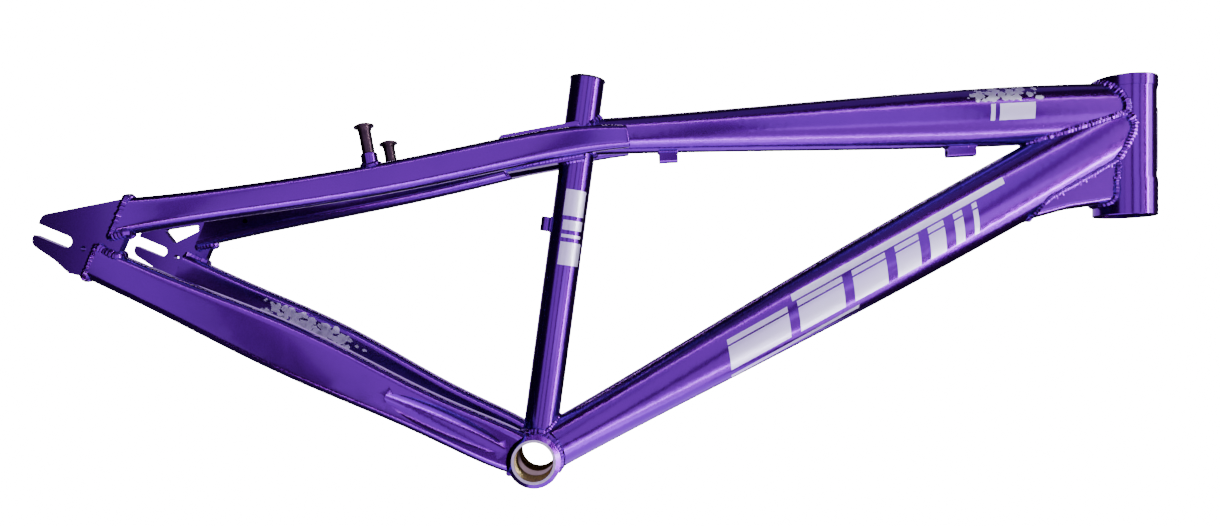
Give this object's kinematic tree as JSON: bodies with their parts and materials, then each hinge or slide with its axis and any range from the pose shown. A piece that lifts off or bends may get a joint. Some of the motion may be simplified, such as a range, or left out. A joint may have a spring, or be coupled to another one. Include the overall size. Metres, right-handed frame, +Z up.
{
  "type": "jump bike frame",
  "caption": "Rigid jump bike frame in welded tube: head tube, main triangle, seat and chain stays, slotted dropouts, rim brake posts.",
  "frame": {"origin": "centre of the bottom bracket shell", "axes": "+X forward, +Y to the rider's left along the bottom bracket, +Z up as the bike stands"},
  "size_m": [0.8998, 0.157, 0.5637],
  "materials": {
    "candy_paint": "deep violet candy lacquer over a metallic base, high gloss, on welded aluminium",
    "bare_aluminium": "machined bare faces and cut threads",
    "blackened_steel": "dark bronze-black oxide on steel",
    "black_polymer": "satin moulded black",
    "silver_vinyl": "pale silver-lilac graphic film under clear lacquer"
  },
  "bodies": {
    "root": {"head_tube": "candy_paint", "top_tube": "candy_paint", "down_tube": "candy_paint", "head_gusset": "candy_paint", "seat_tube": "candy_paint", "bottom_bracket_shell": "candy_paint", "seat_stay_yoke": "candy_paint", "chain_stay_bridge": "candy_paint", "dropout_right": "candy_paint", "dropout_left": "candy_paint", "cable_guide_rear": "candy_paint", "cable_guide_front": "candy_paint", "cable_stop": "candy_paint", "seat_stay_right": "candy_paint", "seat_stay_left": "candy_paint", "seat_stay_cap_right": "candy_paint", "seat_stay_cap_left": "candy_paint", "chain_stay_right": "candy_paint", "chain_stay_left": "candy_paint", "brake_boss_right": "candy_paint", "brake_boss_left": "candy_paint", "head_badge": "silver_vinyl", "seat_tube_sleeve": "black_polymer", "brake_stud_right": "blackened_steel", "brake_stud_bolt_right": "blackened_steel", "brake_stud_left": "blackened_steel", "brake_stud_bolt_left": "blackened_steel"}
  },
  "joints": []
}
